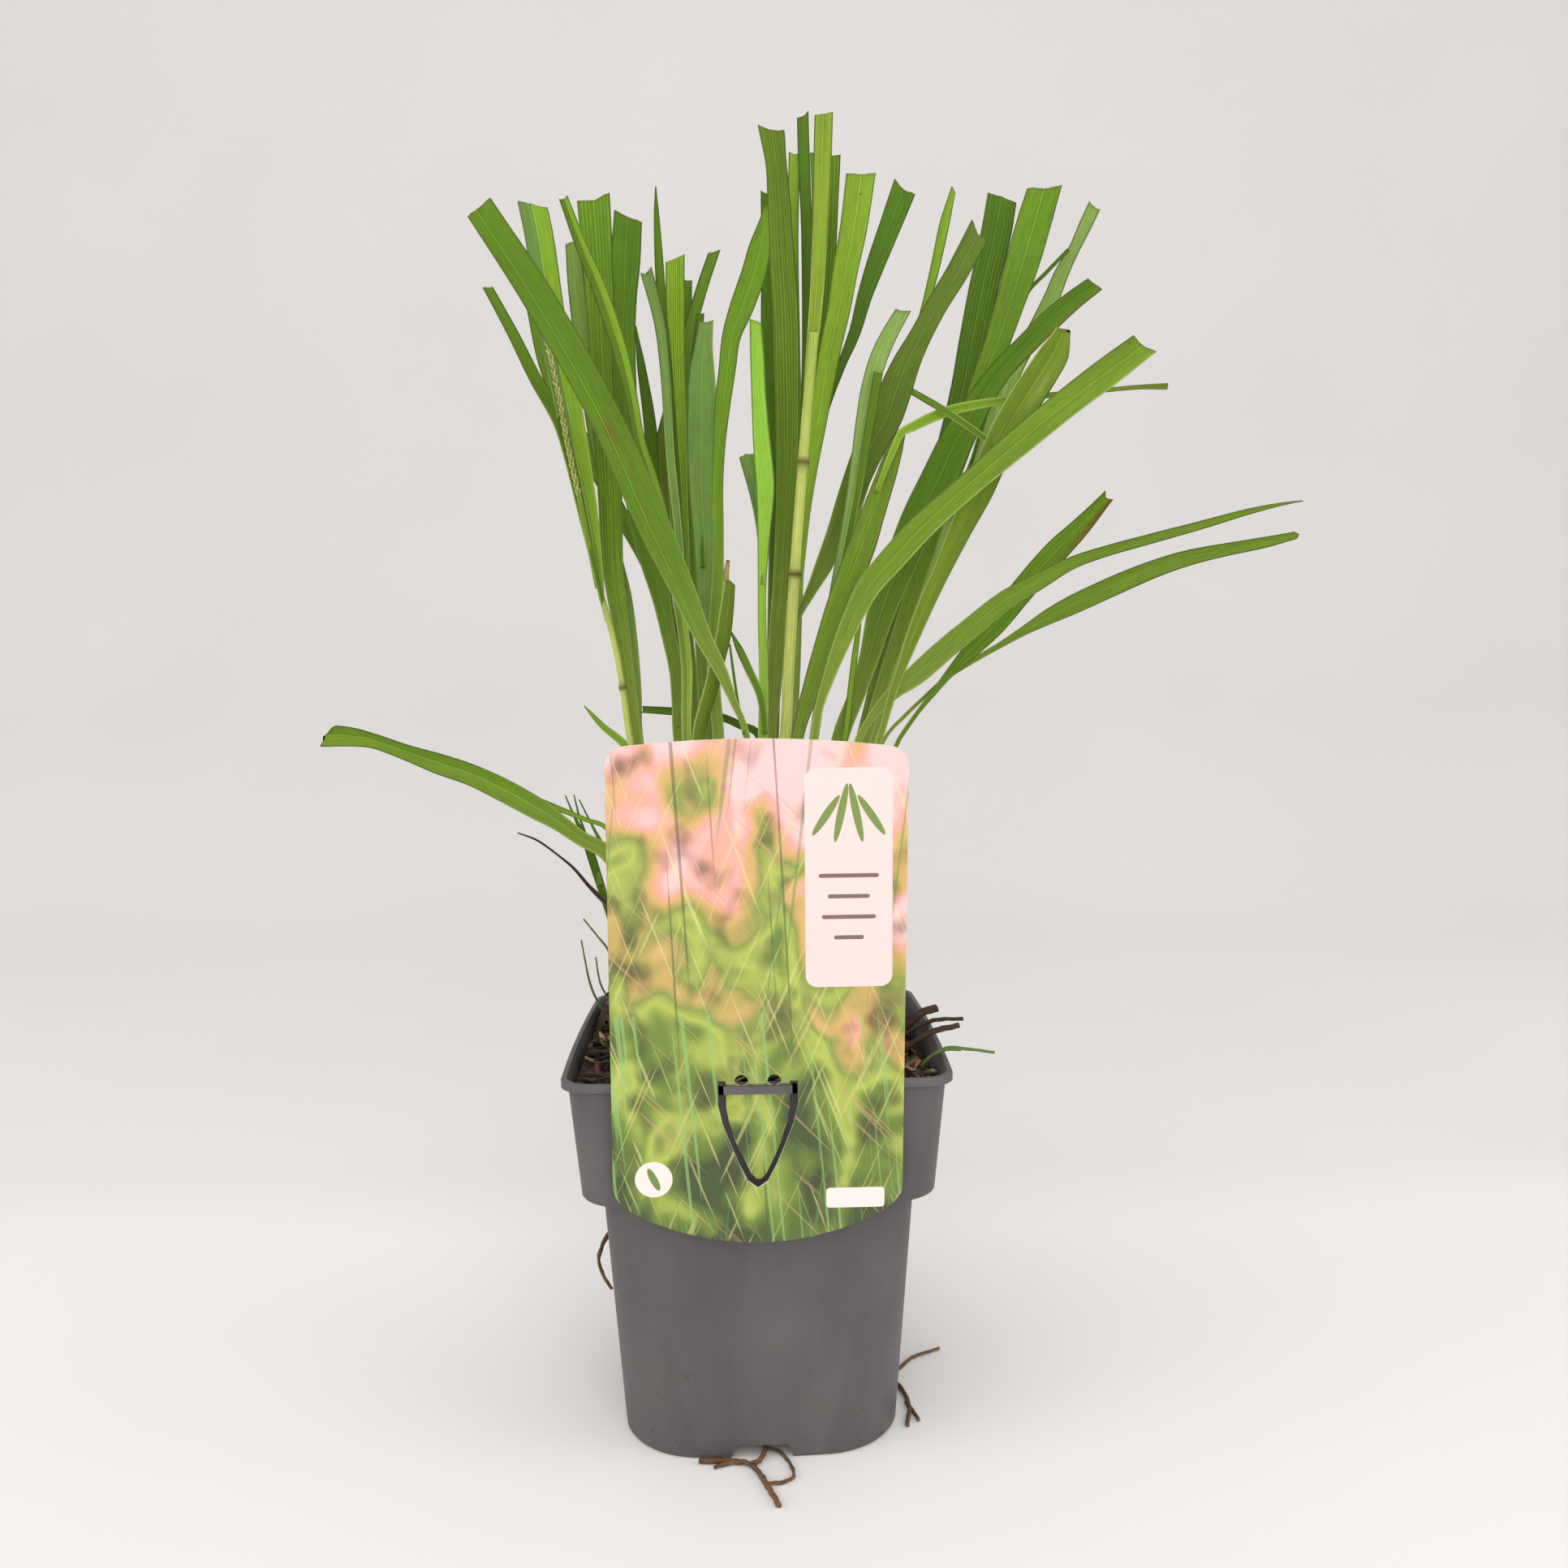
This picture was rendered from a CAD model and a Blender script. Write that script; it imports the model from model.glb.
# Tall moor grass in a square nursery pot with a hanging label.
# The part's sizes are millimetres and turn into Blender's metres when a mesh is made.
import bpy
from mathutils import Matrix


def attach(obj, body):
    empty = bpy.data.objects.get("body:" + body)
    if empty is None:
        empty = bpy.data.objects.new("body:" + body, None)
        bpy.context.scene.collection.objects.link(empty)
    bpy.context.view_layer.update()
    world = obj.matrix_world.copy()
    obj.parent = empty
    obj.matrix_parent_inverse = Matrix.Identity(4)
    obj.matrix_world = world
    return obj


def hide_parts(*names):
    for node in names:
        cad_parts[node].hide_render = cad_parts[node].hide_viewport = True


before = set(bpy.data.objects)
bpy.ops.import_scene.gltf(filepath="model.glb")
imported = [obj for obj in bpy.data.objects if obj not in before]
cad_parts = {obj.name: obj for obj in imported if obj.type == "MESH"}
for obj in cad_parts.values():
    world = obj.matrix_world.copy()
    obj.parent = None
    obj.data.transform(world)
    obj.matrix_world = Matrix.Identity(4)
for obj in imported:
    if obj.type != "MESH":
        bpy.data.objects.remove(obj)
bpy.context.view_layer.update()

import math
import random

import bmesh
import bpy
from mathutils import Matrix, Vector, noise

MM = 0.001

# Driving dimensions. A shoot stands SUNK deep in the soil, and the clump reaches FOOT_SPREAD to the front
# and to the back of its middle at the soil, and TIP_SPREAD at its tips.
RIM_WIDTH = 137
POT_HEIGHT = 144.5
WALL = 1.2
STEP_HEIGHT = 99
LIP_HEIGHT = 3.2
SOIL_LEVEL = 139
SUNK = 14
CLUMP_X = -12
FOOT_SPREAD = 28
TIP_SPREAD = 85

# The photograph's view: pixels in its 1932 x 1932 frame, places in millimetres
IMAGE = 1932
FOCAL = 1700
MIDDLE = IMAGE / 2
PLACE = Vector((-2.6, -531, 284.6))
DOWN = math.radians(4.68)
RIGHT = math.radians(1.59)
ROLL = math.radians(-0.7)
UP = Vector((0, 0, 1))
AHEAD = Vector((math.sin(RIGHT) * math.cos(DOWN), math.cos(RIGHT) * math.cos(DOWN), -math.sin(DOWN)))
SIDEWAYS = Matrix.Rotation(-ROLL, 3, AHEAD) @ AHEAD.cross(UP).normalized()
UPRIGHT = SIDEWAYS.cross(AHEAD)


def sight_point(u, v, y):
    """The point of a pixel's line of sight that lies at a given y."""
    ray = AHEAD + SIDEWAYS * ((u - MIDDLE) / FOCAL) + UPRIGHT * ((MIDDLE - v) / FOCAL)
    return PLACE + ray * ((y - PLACE.y) / ray.y)


def pixel_size(point):
    """Millimetres to a pixel at a point."""
    return (point - PLACE).dot(AHEAD) / FOCAL


def smoothstep(x, low, high):
    t = min(1, max(0, (x - low) / (high - low)))
    return t * t * (3 - 2 * t)


def lerp(a, b, t):
    return a + (b - a) * t


def blend(a, b, t):
    return tuple(lerp(x, y, t) for x, y in zip(a, b))


def paint(red, green, blue):
    """A screen colour of 0 to 255 as the linear colour that a shader takes."""
    levels = [level / 255 for level in (red, green, blue)]
    return tuple(c / 12.92 if c <= 0.04045 else ((c + 0.055) / 1.055) ** 2.4 for c in levels)


def ring_faces(first, levels, around):
    """Faces of a closed body through rings of vertices: walls between them, and one face at each end."""
    faces = [tuple(first + k for k in reversed(range(around)))]
    last = first + (levels - 1) * around
    for low in range(first, last, around):
        for k in range(around):
            a, b = low + k, low + (k + 1) % around
            faces.append((a, b, b + around, a + around))
    faces.append(tuple(last + k for k in range(around)))
    return faces


class Shape:
    """Vertices in millimetres, each with a tint and a place on the grain, across it and along it."""

    def __init__(self):
        self.vertices = []
        self.faces = []
        self.tints = []
        self.grain = []

    def add(self, rings):
        """A closed body through rings, each of them (points, tints, places on the grain)."""
        self.faces.extend(ring_faces(len(self.vertices), len(rings), len(rings[0][0])))
        for points, tints, grain in rings:
            self.vertices.extend(points)
            self.tints.extend(tints)
            self.grain.extend(grain)

    def piece(self, name, material, replaced=()):
        mesh = bpy.data.meshes.new(name)
        mesh.from_pydata([point * MM for point in self.vertices], [], self.faces)
        # A tint of three numbers gets 1 as its fourth
        tint = mesh.color_attributes.new("Tint", "FLOAT_COLOR", "POINT")
        tint.data.foreach_set("color", [c for colour in self.tints for c in (*colour, 1)[:4]])
        layer = mesh.uv_layers.new(name="Grain")
        for loop in mesh.loops:
            layer.data[loop.index].uv = self.grain[loop.vertex_index]
        mesh.shade_smooth()
        made = bpy.data.objects.new(name, mesh)
        return shown(made, material, replaced)


def shown(made, material, replaced=()):
    """Puts an object of the part into the scene, on the part's one body."""
    if made.name not in bpy.context.scene.collection.objects:
        bpy.context.scene.collection.objects.link(made)
    made.data.materials.clear()
    made.data.materials.append(material)
    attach(made, "root")
    if replaced:
        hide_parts(*replaced)
    return made


# Materials
RIB_COUNT = 9
LEAF_SPECK = paint(96, 66, 30)
POT_GREYS = (paint(75, 70, 72), paint(82, 77, 78), paint(89, 84, 85))
PEAT_BROWNS = (paint(38, 29, 24), paint(72, 55, 46), paint(104, 82, 68))


def new_material(name):
    """A material without nodes, and the function that adds one node to it."""
    material = bpy.data.materials.new(name)
    material.use_nodes = True
    tree = material.node_tree
    tree.nodes.clear()

    def node(kind, inputs=None, **settings):
        made = tree.nodes.new("ShaderNode" + kind)
        for key, value in settings.items():
            setattr(made, key, value)
        for key, value in (inputs or {}).items():
            if isinstance(value, bpy.types.NodeSocket):
                tree.links.new(value, made.inputs[key])
            else:
                made.inputs[key].default_value = value
        return made

    return material, node


def mixed(node, factor, a, b, kind="MIX"):
    """Two colours mixed: the output socket. Mix's colour sockets are its seventh and eighth."""
    made = node("Mix", {0: factor}, data_type="RGBA", blend_type=kind)
    for index, value in ((6, a), (7, b)):
        if isinstance(value, bpy.types.NodeSocket):
            made.id_data.links.new(value, made.inputs[index])
        else:
            made.inputs[index].default_value = (*value[:3], 1)
    return made.outputs[2]


def ramp(node, factor, stops):
    """Colours or greys by a factor: stops are (place, colour) or (place, grey)."""
    made = node("ValToRGB", {"Fac": factor})
    elements = made.color_ramp.elements
    while len(elements) < len(stops):
        elements.new(0.5)
    for element, (place, value) in zip(elements, stops):
        element.position = place
        colour = value if isinstance(value, tuple) else (value, value, value)
        element.color = (*colour, 1)
    return made.outputs["Color"]


def stretched(node, source, scale):
    return node("Mapping", {"Vector": source, "Scale": scale}).outputs["Vector"]


def noise_of(node, vector, scale, detail=3, roughness=0.5, distortion=0):
    values = {"Vector": vector, "Scale": scale, "Detail": detail}
    values.update({"Roughness": roughness, "Distortion": distortion})
    return node("TexNoise", values).outputs["Fac"]


def number(node, operation, a, b=0.0, clamp=False):
    """The output of one sum, product or other function of numbers."""
    return node("Math", {0: a, 1: b}, operation=operation, use_clamp=clamp).outputs[0]


def times(node, a, b, clamp=False):
    return number(node, "MULTIPLY", a, b, clamp)


def plus(node, a, b):
    return number(node, "ADD", a, b)


def apart(node, a, b):
    """How far two numbers are apart."""
    return number(node, "ABSOLUTE", number(node, "SUBTRACT", a, b))


def axes(node, vector):
    return node("SeparateXYZ", {"Vector": vector}).outputs


def finished(node, material, colour, roughness, bump, depth, translucent=0, specular=0.4, strength=0.6):
    """The surface: a principled shader with a bump, and light shining through thin leaves."""
    bumped = node("Bump", {"Height": bump, "Strength": strength, "Distance": depth})
    normal = bumped.outputs["Normal"]
    values = {"Base Color": colour, "Roughness": roughness, "Normal": normal}
    values["Specular IOR Level"] = specular
    surface = node("BsdfPrincipled", values).outputs["BSDF"]
    if translucent:
        through = node("BsdfTranslucent", {"Color": colour, "Normal": normal}).outputs["BSDF"]
        surface = node("MixShader", {0: translucent, 1: surface, 2: through}).outputs["Shader"]
    node("OutputMaterial", {"Surface": surface})
    return material


def leaf_material():
    """Tint of the blade with a pale midrib, fine veins, raised ribs where it has them, and small specks."""
    material, node = new_material("leaf")
    tinted = node("VertexColor", layer_name="Tint").outputs
    grain = node("UVMap", uv_map="Grain").outputs["UV"]
    across = number(node, "FRACT", axes(node, grain)["X"])
    fine = noise_of(node, stretched(node, grain, (60, 0.03, 1)), 1, 2)
    broad = noise_of(node, stretched(node, grain, (17, 0.012, 1)), 1, 3)
    mottle = noise_of(node, stretched(node, grain, (6, 0.16, 1)), 1, 5, 0.7)
    rows = number(node, "SINE", times(node, across, 2 * math.pi * RIB_COUNT))
    uneven = times(node, rows, ramp(node, broad, [(0.35, 0.35), (0.6, 1.0)]))
    ribs = times(node, uneven, tinted["Alpha"])
    veins = ramp(node, fine, [(0.32, 0.84), (0.5, 1.0), (0.7, 1.14)])
    bands = ramp(node, broad, [(0.3, 0.93), (0.52, 1.0), (0.75, 1.06)])
    patches = ramp(node, mottle, [(0.3, 0.86), (0.5, 0.99), (0.72, 1.1)])
    raised = plus(node, times(node, ribs, 0.5), 0.5)
    ridges = ramp(node, raised, [(0.0, 0.74), (0.5, 1.0), (0.75, 1.06), (1.0, 1.5)])
    from_rib = apart(node, across, 0.5)
    midrib = ramp(node, from_rib, [(0.0, 1.4), (0.02, 1.3), (0.03, 0.8), (0.05, 0.86), (0.07, 1.0)])
    colour = tinted["Color"]
    for shade in (veins, bands, patches, ridges, midrib):
        colour = mixed(node, 1, colour, shade, "MULTIPLY")
    place = node("TexCoord").outputs["Object"]
    specks = ramp(node, noise_of(node, place, 420, 2), [(0.70, 0.0), (0.75, 1.0)])
    rare = ramp(node, noise_of(node, place, 28, 2), [(0.55, 0.0), (0.68, 0.7)])
    colour = mixed(node, times(node, specks, rare), colour, LEAF_SPECK)
    height = plus(node, plus(node, fine, times(node, broad, 1.2)), ribs)
    rough = ramp(node, mottle, [(0.3, 0.5), (0.7, 0.66)])
    return finished(node, material, colour, rough, height, 0.0003, 0.3, 0.22)


def stem_material(name, dark, pale, roughness=0.85, scale=260):
    """Tint with a dark and a pale mottling, for roots, stalks, sticks and bark."""
    material, node = new_material(name)
    tint = node("VertexColor", layer_name="Tint").outputs["Color"]
    place = node("TexCoord").outputs["Object"]
    mottle = noise_of(node, place, scale, 5, 0.65)
    shade = ramp(node, mottle, [(0.28, dark), (0.5, (1.0, 1.0, 1.0)), (0.75, pale)])
    colour = mixed(node, 1, tint, shade, "MULTIPLY")
    rough = ramp(node, mottle, [(0.3, roughness - 0.1), (0.7, roughness)])
    return finished(node, material, colour, rough, mottle, 0.0006, 0, 0.25)


def pot_material():
    """Matte grey moulded plastic, with a faint bloom and dirt near its foot and rim."""
    material, node = new_material("pot")
    place = node("TexCoord").outputs["Object"]
    broad = noise_of(node, place, 16, 4, 0.6)
    fine = noise_of(node, place, 900, 3)
    colour = ramp(node, broad, list(zip((0.3, 0.52, 0.72), POT_GREYS)))
    streaks = noise_of(node, stretched(node, place, (60, 60, 9)), 1, 4, 0.6)
    colour = mixed(node, 1, colour, ramp(node, streaks, [(0.3, 0.9), (0.65, 1.06)]), "MULTIPLY")
    low = ramp(node, times(node, axes(node, place)["Z"], 10), [(0.0, 1.0), (0.3, 0.35), (0.6, 0.1)])
    specks = ramp(node, noise_of(node, place, 330, 2, 0.6), [(0.69, 0.0), (0.73, 1.0)])
    colour = mixed(node, times(node, specks, low, True), colour, paint(52, 44, 38))
    film = ramp(node, noise_of(node, place, 40, 5, 0.7), [(0.52, 0.0), (0.75, 0.35)])
    colour = mixed(node, times(node, film, low, True), colour, paint(86, 76, 68))
    rough = ramp(node, fine, [(0.3, 0.46), (0.7, 0.6)])
    return finished(node, material, colour, rough, fine, 0.0001, 0, 0.45, 0.25)


def soil_material():
    """Dark peat with crumbs and fibres."""
    material, node = new_material("peat")
    place = node("TexCoord").outputs["Object"]
    crumbs = noise_of(node, place, 210, 8, 0.7)
    fibres = noise_of(node, stretched(node, place, (900, 130, 300)), 1, 3, 0.5, 1.5)
    colour = ramp(node, crumbs, list(zip((0.3, 0.5, 0.7), PEAT_BROWNS)))
    colour = mixed(node, ramp(node, fibres, [(0.62, 0.0), (0.7, 0.6)]), colour, paint(118, 90, 66))
    return finished(node, material, colour, 0.95, crumbs, 0.003, 0, 0.2, 1.0)


# Tones of the blades, as screen colours
TONES = {
    "grass": paint(92, 132, 22),
    "meadow": paint(118, 150, 40),
    "mid": paint(100, 138, 28),
    "rich": paint(110, 150, 32),
    "light": paint(140, 180, 46),
    "bright": paint(152, 200, 66),
    "deep": paint(88, 128, 24),
    "silver": paint(124, 161, 76),
    "mist": paint(142, 180, 82),
    "faded": paint(142, 172, 82),
    "teal": paint(154, 190, 98),
    "grey": paint(102, 128, 38),
    "lined": paint(112, 142, 36),
    "olive": paint(108, 132, 34),
    "moss": paint(118, 146, 36),
    "pale": paint(144, 172, 52),
    "straw": paint(186, 166, 92),
    "weed": paint(120, 150, 60),
    "purple": paint(86, 60, 62),
}
SHEATH_TONE = paint(170, 184, 88)
FOOT_TONE = paint(188, 172, 118)
CUT_TONE = paint(112, 100, 48)
MARGIN_TONE = paint(66, 74, 30)
PALE_MARGIN = paint(188, 206, 118)
RIM_TONE = paint(96, 62, 72)
RUST_TONE = paint(128, 78, 34)
STRAW_TONE = paint(206, 214, 116)
BUD_TONE = paint(228, 222, 150)
NODE_TONE = paint(92, 82, 46)


# The clump. A part's path points are (across, down, width) in pixels, from the lowest one seen to the
# tip. Its looks: layer sets it that much further back, turn is degrees away from facing the view, fold is
# the depth of the V over half the width, base is the width at the soil in millimetres, and cut is how far
# the left edge, middle and right edge of the tip stand out in pixels, with torn for their unevenness.
# tone is the blade's tone, and half that of its part left of the midrib. rib is the midrib's place from
# -1 to 1, ribs asks for raised ribs, pale is the side with a pale margin, tipbrown is the brown share at
# the tip, and a stain is (middle, reach, place across, spread across, tone, strength).
def leaf(path, **look):
    """A blade that stands in the soil on its own sheath."""
    return {"path": path, **look}


def sprout(path, **look):
    """A blade or stalk that starts from the first part of its tiller."""
    return {"path": path, "sprouts": True, **look}


def culm(path, radius, **look):
    """A round stem, with its radius at the soil and at its cut end, and the rows of its nodes."""
    return {"path": path, "radius": radius, **look}


def tiller(name, depth, *parts, foot=None):
    """One shoot: depth is -1 at the clump's front and 1 at its back."""
    return {"name": name, "depth": depth, "parts": parts, "foot": foot}


TILLERS = [
    tiller("tiller_left_culm", 0.02,
        culm([(776, 908), (767, 845), (759, 800), (750, 765), (740, 730), (731, 690)], radius=(1.7, 1.1),
            nodes=(845,)),
        sprout([(742, 740, 6), (736, 700, 13), (731, 665, 17), (723, 623, 24), (712, 566, 29),
            (702, 509, 32), (690, 450, 33), (679, 388, 34), (664, 289, 34), (656, 251, 34)], tone="light",
            cut=(5, 1, -6), half="silver"),
        sprout([(748, 765, 4), (733, 698, 7), (720, 640, 11), (703, 566, 14), (690, 520, 17),
            (660, 467, 15), (632, 411, 13), (601, 354, 11)], layer=-0.03, tone="mid", cut=(2, 0, -2),
            turn=20),
        sprout([(736, 725, 5), (714, 615, 5), (700, 550, 6), (688, 486, 5), (672, 411, 1)], layer=-0.06,
            panicle=True, tone="pale", fold=0),
        sprout([(779, 930, 8), (766, 914, 9), (743, 895, 7), (729, 880, 4), (720, 870, 1)], tone="light")),
    tiller("tiller_left_dark", 0.2,
        leaf([(783, 908, 17), (774, 840, 18), (764, 767, 20), (755, 700, 25), (752, 620, 29),
            (746, 520, 31), (742, 430, 33), (737, 330, 37), (731, 243, 40)], turn=-8, tone="rich",
            ribs=True, cut=(-3, -2, 4))),
    tiller("tiller_left_grey", 0.34,
        leaf([(785, 905, 12), (784, 860, 12), (780, 800, 12), (772, 735, 12), (762, 690, 10),
            (752, 640, 10), (742, 590, 11), (733, 540, 14), (720, 440, 19), (710, 350, 21), (706, 300, 18)],
            turn=35, tone="mist", cut=(-3, 3, -1))),
    tiller("tiller_left_far", 0.5,
        leaf([(843, 906, 12), (833, 820, 13), (818, 750, 15), (798, 695, 16), (768, 640, 17),
            (742, 590, 20), (704, 520, 23), (676, 450, 24), (660, 375, 24)], turn=-25, tone="rich")),
    tiller("tiller_left_broad", -0.13,
        leaf([(842, 908, 24), (838, 865, 20), (833, 824, 17), (824, 784, 17), (815, 738, 22),
            (800, 678, 30), (787, 620, 31), (777, 560, 30), (771, 500, 29), (768, 430, 29), (770, 370, 28),
            (771, 320, 35), (774, 266, 34)], turn=18, tone="grass", cut=(4, 0, -4))),
    tiller("tiller_left_narrow", -0.55,
        leaf([(846, 905, 11), (846, 820, 13), (836, 740, 13), (822, 660, 13), (803, 590, 14),
            (788, 545, 14), (778, 490, 15), (766, 440, 18), (738, 355, 17), (715, 300, 14), (694, 243, 11)],
            turn=-30, tone="light", half="mid")),
    tiller("tiller_front_left", -1,
        leaf([(920, 908, 8), (904, 865, 9), (887, 824, 16), (866, 784, 21), (845, 735, 29), (800, 635, 40),
            (743, 508, 39), (662, 365, 39), (590, 255, 36)], turn=8, tone="mid", cut=(-2, 0, 2), rib=-0.25,
            stains=((0.76, 0.012, -0.1, 0.25, RUST_TONE, 0.7), (0.7, 0.03, 0.0, 0.12, RUST_TONE, 0.3))),
        sprout([(917, 905, 4), (911, 876, 3), (905, 838, 3), (899, 793, 2)], layer=0.04, tone="deep")),
    tiller("tiller_left_back", 0.6,
        leaf([(846, 906, 11), (834, 820, 12), (816, 700, 14), (805, 600, 15), (801, 525, 15),
            (790, 450, 10), (783, 402, 2)], turn=30, tone="grass"),
        sprout([(834, 820, 9), (836, 730, 12), (826, 650, 17), (815, 590, 18), (815, 545, 14),
            (820, 500, 3)], layer=0.04, tone="olive")),
    tiller("tiller_spiky", -0.28,
        leaf([(856, 906, 14), (851, 830, 15), (842, 740, 15), (834, 640, 15), (828, 560, 15),
            (823, 480, 14), (817, 400, 12), (812, 320, 10), (809, 262, 6), (808, 229, 1)], tone="mid",
            ribs=True),
        sprout([(846, 815, 5), (838, 680, 8), (826, 560, 10), (819, 450, 12), (812, 395, 13),
            (796, 333, 15)], layer=-0.03, turn=-30, tone="silver", cut=(-1, -4, 2)),
        sprout([(846, 800, 6), (845, 700, 9), (840, 600, 14), (835, 500, 21), (832, 430, 23),
            (832, 318, 23)], layer=0.04, tone="light", cut=(-6, -1, 6), ribs=True)),
    tiller("tiller_spiky_behind", 0,
        leaf([(868, 906, 12), (864, 800, 14), (851, 640, 16), (842, 500, 17), (846, 425, 16),
            (856, 385, 14), (868, 345, 13), (880, 310, 12)], turn=-25, tone="mid", cut=(-4, 0, 4)),
        sprout([(862, 780, 6), (851, 640, 9), (847, 500, 11), (847, 420, 11), (848, 345, 9)], layer=0.04,
            tone="mid")),
    tiller("tiller_silver", -0.42,
        leaf([(878, 907, 19), (872, 820, 17), (869, 760, 17), (869, 710, 22), (868, 652, 29),
            (865, 600, 32), (864, 540, 34), (865, 500, 35), (865, 465, 32), (867, 425, 22), (870, 395, 18)],
            turn=12, tone="silver", cut=(-1, -2, 2), pale=1),
        sprout([(866, 700, 6), (859, 560, 10), (857, 470, 13), (860, 420, 11), (863, 386, 9)], layer=0.05,
            tone="deep")),
    tiller("tiller_mid_left", -0.6,
        leaf([(885, 907, 14), (880, 850, 15), (879, 790, 15), (884, 720, 14), (885, 652, 13),
            (884, 600, 14), (886, 550, 15), (890, 500, 19), (896, 455, 21), (901, 415, 23), (914, 378, 29),
            (928, 338, 29), (936, 305, 26), (941, 278, 15), (944, 253, 4)], turn=-12, tone="rich")),
    tiller("tiller_rolled", -0.8,
        leaf([(861, 907, 15), (868, 875, 16), (877, 845, 17), (885, 810, 18), (891, 785, 18),
            (895, 755, 17), (899, 718, 14)], turn=10, fold=-0.6, tone="olive", cut=(2, 3, -3), pale=-1),
        sprout([(894, 760, 4), (895, 725, 6), (895, 705, 6), (897, 691, 4)], layer=0.01, tone="straw",
            fold=0)),
    tiller("tiller_bright", -0.66,
        leaf([(940, 906, 12), (941, 840, 11), (939, 767, 10), (939, 720, 10), (941, 660, 15),
            (943, 600, 22), (939, 550, 21), (935, 490, 18), (933, 440, 17), (931, 396, 14)], turn=20,
            tone="bright", cut=(3, 1, -3)),
        sprout([(943, 904, 8), (937, 858, 9), (923, 826, 9), (911, 800, 8), (901, 779, 2)], layer=-0.02,
            tone="mid"),
        sprout([(939, 720, 5), (936, 655, 7), (930, 610, 12), (920, 560, 19)], layer=0.06, tone="silver",
            cut=(-2, 1, -2))),
    tiller("tiller_centre_dark", 0.16,
        leaf([(952, 906, 14), (953, 800, 15), (957, 600, 18), (954, 500, 20), (949, 420, 21),
            (947, 300, 18), (944, 236, 13)], turn=25, tone="grass")),
    tiller("tiller_centre_tall", -0.14,
        leaf([(947, 906, 18), (954, 830, 20), (960, 750, 20), (964, 700, 21), (968, 620, 24),
            (970, 540, 28), (969, 460, 31), (967, 380, 32), (962, 300, 30), (959, 240, 27), (956, 200, 25),
            (950, 158, 31)], turn=-15, tone="lined", cut=(8, -2, -7), ribs=True)),
    tiller("tiller_culm", -0.52,
        culm([(968, 906), (972, 825), (979, 712), (984, 640), (989, 575), (994, 510), (999, 455),
            (1003, 410)], radius=(2.7, 1.7), nodes=(712, 575)),
        sprout([(989, 575, 8), (993, 520, 9), (998, 455, 12), (1006, 366, 16), (1010, 290, 19),
            (1013, 210, 21), (1015, 140, 22)], layer=0.03, tone="pale", cut=(-3, 0, 3))),
    tiller("tiller_centre_slim", 0.34,
        leaf([(975, 906, 11), (984, 700, 12), (993, 520, 13), (995, 400, 13), (994, 290, 13),
            (990, 180, 14), (989, 141, 14)], turn=-30, tone="grass", cut=(-2, -3, 3)),
        sprout([(982, 740, 6), (984, 560, 9), (980, 420, 11), (977, 290, 13), (979, 188, 14)], layer=0.04,
            tone="light")),
    tiller("tiller_centre_low", 0.04,
        leaf([(972, 906, 12), (975, 830, 13), (978, 750, 15), (988, 620, 20), (1002, 500, 26),
            (1010, 400, 29), (1015, 300, 31), (1017, 235, 33), (1017, 189, 37)], turn=15, tone="mid",
            ribs=True)),
    tiller("tiller_centre_light", -0.24,
        leaf([(972, 906, 10), (976, 830, 11), (980, 750, 13), (991, 620, 18), (1007, 520, 23),
            (1023, 430, 26), (1034, 380, 28), (1042, 330, 31), (1051, 285, 33), (1061, 213, 35)], turn=-12,
            tone="light", cut=(-2, 0, 2))),
    tiller("tiller_centre_right", 0.26,
        leaf([(975, 906, 8), (983, 760, 7), (995, 620, 6), (1014, 520, 6), (1036, 452, 10), (1053, 410, 14),
            (1066, 363, 18), (1081, 320, 23), (1100, 270, 27), (1115, 230, 30)], turn=15, tone="deep",
            cut=(3, -3, -2))),
    tiller("tiller_right_thin", 0.62,
        leaf([(1005, 906, 7), (1030, 740, 7), (1060, 620, 7), (1115, 465, 7), (1140, 378, 9),
            (1152, 330, 11), (1164, 275, 12), (1175, 233, 7)], turn=30, tone="light", cut=(2, 0, -3))),
    tiller("tiller_right_grey", -0.37,
        leaf([(966, 906, 8), (970, 830, 8), (979, 768, 9), (998, 731, 12), (1015, 697, 21), (1031, 659, 26),
            (1052, 600, 32), (1075, 545, 37), (1092, 515, 38), (1104, 480, 39), (1117, 447, 33),
            (1133, 416, 27), (1155, 375, 26), (1178, 338, 27), (1207, 284, 29)], turn=-10, tone="grey",
            cut=(8, -4, -6))),
    tiller("tiller_right_strips", -0.56,
        leaf([(1003, 906, 10), (1017, 800, 11), (1030, 720, 12), (1045, 640, 12), (1055, 570, 13),
            (1063, 520, 17), (1071, 480, 20), (1083, 440, 21), (1098, 408, 19), (1113, 382, 17)], turn=20,
            tone="teal", cut=(-4, -2, 4)),
        sprout([(1021, 775, 6), (1038, 700, 8), (1054, 620, 9), (1065, 560, 10), (1076, 500, 11),
            (1082, 459, 11)], layer=-0.04, tone="mid", cut=(1, 0, -1)), foot=(3.4, -16)),
    tiller("tiller_arching", -0.7,
        leaf([(983, 906, 15), (996, 860, 20), (1015, 796, 23), (1036, 740, 31), (1061, 676, 33),
            (1075, 635, 29), (1093, 583, 24), (1103, 552, 19), (1112, 530, 9)], turn=10, tone="meadow",
            purple_rim=True),
        sprout([(1080, 606, 6), (1100, 556, 8), (1112, 532, 9), (1124, 526, 11), (1140, 518, 12),
            (1167, 507, 12), (1196, 500, 11), (1248, 492, 8), (1302, 486, 6), (1359, 481, 5),
            (1403, 477, 5), (1439, 476, 7)], layer=-0.03, turn=5, tone="light", tipbrown=0.25)),
    tiller("tiller_front_right", -1,
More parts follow.
